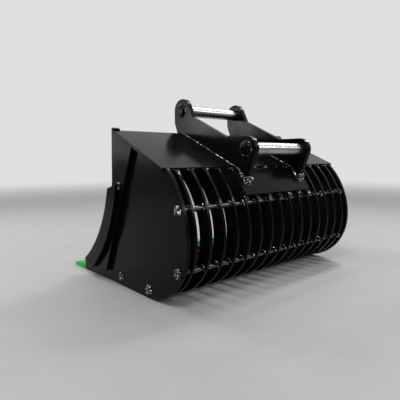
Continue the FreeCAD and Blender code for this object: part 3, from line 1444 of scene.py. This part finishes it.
@dataclass
class ShellWelds:
    """Long seams of the shell, and short heavy welds on what lies on it.

    Attributes:
        blade_inset: How far the cutting edge's seams stop short of the lip plate's ends.
        upper_run: Length of the welds at the back plate's upper edge.
        lower_run: Length of those at its lower edge.
        foot_share: Share of a reinforcement's foot that is welded.
        foot_band: Height within which a corner belongs to the foot.
        crown_band: Height within which a corner belongs to a side cutter's upper end.
        run_down: Length of the run down from there.
    """

    blade_inset: float = 0.012
    upper_run: float = 0.016
    lower_run: float = 0.022
    foot_share: float = 0.98
    foot_band: float = 0.001
    crown_band: float = 0.012
    run_down: float = 0.022

    def build(self, welder: Welder) -> list[bpy.types.Object]:
        """Weld the shell.

        Args:
            welder: Lays the welds.

        Returns:
            The pieces.
        """
        pieces = [self.blade(welder), self.back_plate(welder)]
        for side in Side:
            pieces += [weld(welder, side) for weld in (self.side, self.reinforcement, self.cutter)]
        return pieces

    def blade(self, welder: Welder) -> bpy.types.Object:
        """Lay the seams between cutting edge and lip plate, above and below.

        Args:
            welder: Lays the welds.

        Returns:
            The seams.
        """
        low, high = corners("lip_plate")
        half = high.x - self.blade_inset
        beads = []
        for z in (low.z, low.z + SECTION.lip_thickness):
            beads.append(welder.chain([Vector((x, low.y, z)) for x in (-half, half)], THIN_SEAM))
        return welder.finish("weld_cutting_edge", beads, THIN_SEAM)

    def back_plate(self, welder: Welder) -> bpy.types.Object:
        """Lay short welds where the ribs cross the upper and lower edge of the back plate.

        Args:
            welder: Lays the welds.

        Returns:
            The welds.
        """
        low, high = corners("back_plate")
        through = SECTION.back_plate_out * SECTION.back_plate_thickness
        upper = Vector((0.0, low.y, high.z - through.z))
        lower = Vector((0.0, high.y - through.y, low.z))
        runs = (
            (upper, SECTION.back_plate_up * self.upper_run),
            (lower, -SECTION.back_plate_up * self.lower_run),
        )
        beads = []
        for x in SECTION.rib_places:
            if low.x < x < high.x:
                for corner, run in runs:
                    for face in SECTION.rib_faces:
                        start = corner + ACROSS * (x + face)
                        beads.append(welder.chain([start, start + run], CROSSING))
        return welder.finish("weld_back_plate", beads, CROSSING)

    def side(self, welder: Welder, side: Side) -> bpy.types.Object:
        """Lay the seams of a side plate under the top plate, inside and outside.

        Args:
            welder: Lays the welds.
            side: Side of the bucket.

        Returns:
            The seams.
        """
        ends = [end + SECTION.top_under for end in (SECTION.top_front, SECTION.top_rear)]
        faces = sorted(span(side.of("side_plate")), key=abs)
        beads = [welder.chain([end + ACROSS * x for end in ends], THIN_SEAM) for x in faces]
        return welder.finish(side.of("weld_top_plate"), beads, THIN_SEAM)

    def inner_outline(self, node: str) -> tuple[list[Vector], Vector, Vector]:
        """Outline of a plate's inner face, and its foot.

        Args:
            node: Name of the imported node.

        Returns:
            The outline's corners, and the front and rear corner of its foot.
        """
        outline = face_outline(node, min(span(node), key=abs))
        lowest = min(point.z for point in outline)
        foot = [point for point in outline if point.z < lowest + self.foot_band]
        foot.sort(key=lambda point: point.y)
        return outline, foot[0], foot[-1]

    def reinforcement(self, welder: Welder, side: Side) -> bpy.types.Object:
        """Lay the seam along the foot of a reinforcement.

        Args:
            welder: Lays the welds.
            side: Side of the bucket.

        Returns:
            The seam.
        """
        _, front, rear = self.inner_outline(side.of("reinforcement"))
        beads = [welder.chain([rear, rear.lerp(front, self.foot_share)], TACK)]
        return welder.finish(side.of("weld_reinforcement"), beads, TACK)

    def cutter(self, welder: Welder, side: Side) -> bpy.types.Object:
        """Lay the heavy welds at the upper end and along the foot of a side cutter.

        Args:
            welder: Lays the welds.
            side: Side of the bucket.

        Returns:
            The welds.
        """
        outline, front, rear = self.inner_outline(side.of("side_cutter"))
        crown = max(outline, key=lambda point: point.z)
        upper_end = [point for point in outline if point.z > crown.z - self.crown_band]
        corner = min(upper_end, key=lambda point: point.y)
        run = [corner.lerp(crown, 0.5), crown, crown - Vector((0.0, 0.0, self.run_down))]
        beads = [welder.chain(run, LUMP), welder.chain([rear, front], TACK)]
        return welder.finish(side.of("weld_side_cutter"), beads, LUMP)


@dataclass(frozen=True)
class Lamp:
    """One soft box.

    Attributes:
        name: Its name.
        place: Where it hangs.
        size: Its width and height.
        watts: Its power.
    """

    name: str
    place: Triple
    size: tuple[float, float]
    watts: float

    def hang(self, aim: Vector) -> None:
        """Hang the lamp.

        Args:
            aim: Where it points.
        """
        light = bpy.data.lights.new(self.name, "AREA")
        light.shape = "RECTANGLE"
        light.size, light.size_y = self.size
        light.energy = self.watts
        obj = bpy.data.objects.new(self.name, light)
        obj.location = self.place
        obj.rotation_euler = (aim - Vector(self.place)).to_track_quat("-Z", "Y").to_euler()
        bpy.context.scene.collection.objects.link(obj)


LAMPS = (
    Lamp("softbox front right", (3.4, -4.75, 1.45), (3.7, 1.5), 31.0),
    Lamp("window right", (4.10, -4.00, 1.46), (0.6, 0.5), 11.0),
    Lamp("key front", (1.3, -3.1, 3.1), (1.3, 0.5), 70.0),
    Lamp("key rear right", (2.2, 1.9, 4.0), (1.3, 0.5), 70.0),
    Lamp("strip rear left", (-3.2, 3.7, 2.7), (2.2, 0.34), 32.0),
    Lamp("strip overhead left", (-2.6, 0.2, 3.5), (0.50, 2.4), 84.0),
)


@dataclass
class Studio:
    """Floor, lamps, background and camera.

    Attributes:
        floor_half: Half the width of the floor.
        aim: Where the lamps point.
        fill: Level of the background's light on matt surfaces.
        horizon: Share of that light at the horizon.
        full_height: Height of the view direction from which all of it shines.
        eye: Where the camera stands.
        forward: Where it looks.
        roll: How far it is turned about its view, in radians.
        focal_pixels: Its focal length, in pixels of the photograph's frame.
        image_width: Width of that frame, in pixels.
        sensor: Width of the camera's sensor, in millimetres.
    """

    floor_half: float = 40.0
    aim: Triple = (0.0, 0.0, 0.5)
    fill: float = 0.55
    horizon: float = 0.16
    full_height: float = 0.60
    eye: Triple = (1.8364, 1.9690, 0.7312)
    forward: Triple = (-0.65597, -0.74717, -0.10699)
    roll: float = -0.0059
    focal_pixels: float = 392.94
    image_width: float = 400.0
    sensor: float = 36.0

    def build(self, floor_finish: bpy.types.Material) -> None:
        """Set up everything round the bucket.

        Args:
            floor_finish: Material of the floor.
        """
        self.floor(floor_finish)
        for lamp in LAMPS:
            lamp.hang(Vector(self.aim))
        self.background()
        self.camera()
        bpy.context.scene.view_settings.view_transform = "Standard"

    def floor(self, material: bpy.types.Material) -> None:
        """Lay the floor at z = 0.

        Args:
            material: Its material.
        """
        bpy.ops.object.select_all(action="DESELECT")
        bpy.ops.mesh.primitive_plane_add(size=2 * self.floor_half)
        obj = bpy.context.object
        obj.name = "floor"
        obj.data.materials.append(material)

    def background(self) -> None:
        """Make it pale for the camera and glass, and a soft dome, dimmer at the horizon, for the rest."""
        world = bpy.data.worlds.new("studio")
        bpy.context.scene.world = world
        world.use_nodes = True
        sheet = NodeSheet(world.node_tree)
        shade = sheet.tree.nodes["Background"]
        sheet.feed(shade.inputs["Color"], (1.0, 1.0, 1.0, 1.0))
        path = sheet.node("ShaderNodeLightPath").outputs
        place = sheet.node("ShaderNodeTexCoord")
        parts = sheet.node("ShaderNodeSeparateXYZ")
        sheet.feed(parts.inputs[0], place.outputs["Generated"])
        dome = sheet.remap(parts.outputs["Z"], 0.0, self.full_height, to_low=self.horizon, smooth=True)
        level = sheet.maths("MULTIPLY", sheet.mix(path["Is Glossy Ray"], self.fill, 1.0), dome)
        for word in ("Is Transmission Ray", "Is Camera Ray"):
            level = sheet.mix(path[word], level, BACKDROP_LEVEL)
        sheet.feed(shade.inputs["Strength"], level)

    def camera(self) -> None:
        """Place the camera where the photograph was taken from."""
        forward = Vector(self.forward).normalized()
        right = forward.cross(Vector((0.0, 0.0, 1.0))).normalized()
        up = right.cross(forward)
        level_right = right * math.cos(self.roll) + up * math.sin(self.roll)
        level_up = up * math.cos(self.roll) - right * math.sin(self.roll)
        data = bpy.data.cameras.new("camera")
        data.sensor_width = self.sensor
        data.lens = self.sensor * self.focal_pixels / self.image_width
        obj = bpy.data.objects.new("camera", data)
        turn = Matrix((level_right, level_up, -forward)).transposed()
        obj.matrix_world = Matrix.Translation(self.eye) @ turn.to_4x4()
        bpy.context.scene.collection.objects.link(obj)
        bpy.context.scene.camera = obj


@dataclass
class Bucket:
    """The whole bucket, dressed.

    Attributes:
        pin_edge: Radius of the pins' edges.
    """

    pin_edge: float = 0.0008

    def build(self, effects: Effects) -> None:
        """Build the sub-assemblies in order.

        Args:
            effects: The shared node groups.
        """
        black = BLACK.build(effects)
        green = GREEN.build(effects)
        steel = SteelFinish().build(effects)
        welder = Welder(BLACK_WELD.build(effects), BLACK_HEAVY_WELD.build(effects))
        hitch = HitchWelds()
        pieces = Plates().build(black, green)
        pieces += Rods().build(welder, BLACK_BAR.build(effects))
        pieces += [GroundPlate(pin, self.pin_edge, Slot.STEEL).build(steel) for pin in hitch.pins]
        pieces += RibWelds().build(welder)
        pieces += hitch.build(welder, black)
        pieces += ShellWelds().build(welder)
        for piece in pieces:
            log.info("piece %s", piece.name)


def main() -> None:
    """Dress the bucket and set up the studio."""
    effects = Effects.built()
    Bucket().build(effects)
    Studio().build(FloorFinish().build(effects))


if __name__ == "__main__":
    main()
